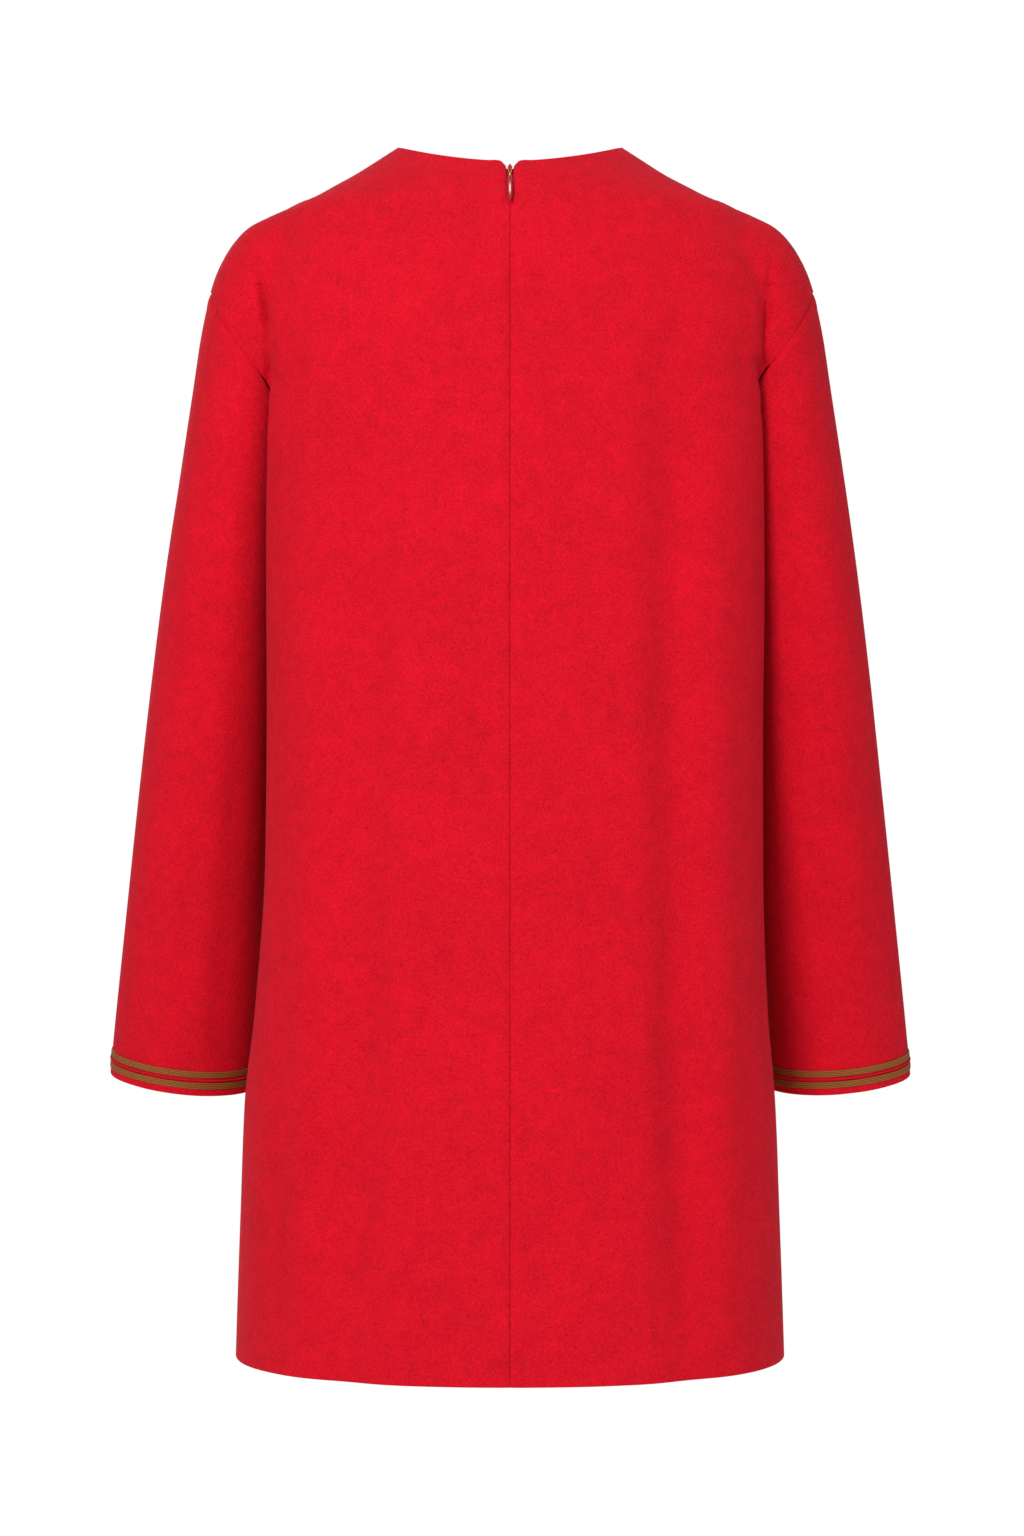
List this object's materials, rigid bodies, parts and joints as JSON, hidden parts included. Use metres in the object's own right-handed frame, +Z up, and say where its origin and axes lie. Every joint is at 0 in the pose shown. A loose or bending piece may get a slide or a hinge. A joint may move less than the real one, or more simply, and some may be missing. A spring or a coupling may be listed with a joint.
{
  "type": "long-sleeved a-line dress",
  "caption": "Long-sleeved A-line wool dress, worn and hollow, with a round neck, a zip up its back and braid round its cuffs.",
  "frame": {"origin": "mid-point between the two neck points, where the shoulder seams meet the neckline: the wearer's shoulders hold the dress there", "axes": "+Z up, +Y out of the front of the dress, +X towards the wearer's right, so that the back with its zip faces -Y"},
  "size_m": [0.5763, 0.2797, 0.8421],
  "materials": {
    "wool": "napped wool crepe, matt",
    "braid": "ribbed woven braid",
    "tape": "woven zip tape with its coil",
    "slider": "gold-coloured metal",
    "pull": "red enamel"
  },
  "bodies": {
    "dress": {"back_left": "wool", "back_right": "wool", "front": "wool", "sleeve_left": "wool", "sleeve_right": "wool", "cuff_cord_left": "wool", "cuff_cord_right": "wool", "cuff_braid_upper_left": "braid", "cuff_braid_upper_right": "braid", "cuff_braid_lower_left": "braid", "cuff_braid_lower_right": "braid", "zip_tape_left": "tape", "zip_tape_right": "tape", "zip_slider": "slider"},
    "zip_pull": {"zip_pull": "pull"}
  },
  "joints": [
    {"name": "pull_tab_swing", "type": "hinge", "parent": "dress", "child": "zip_pull", "pos_m": [0, -0.07856, -0.03159], "axis": [-1, 0, 0], "range_deg": [0, 150]}
  ]
}
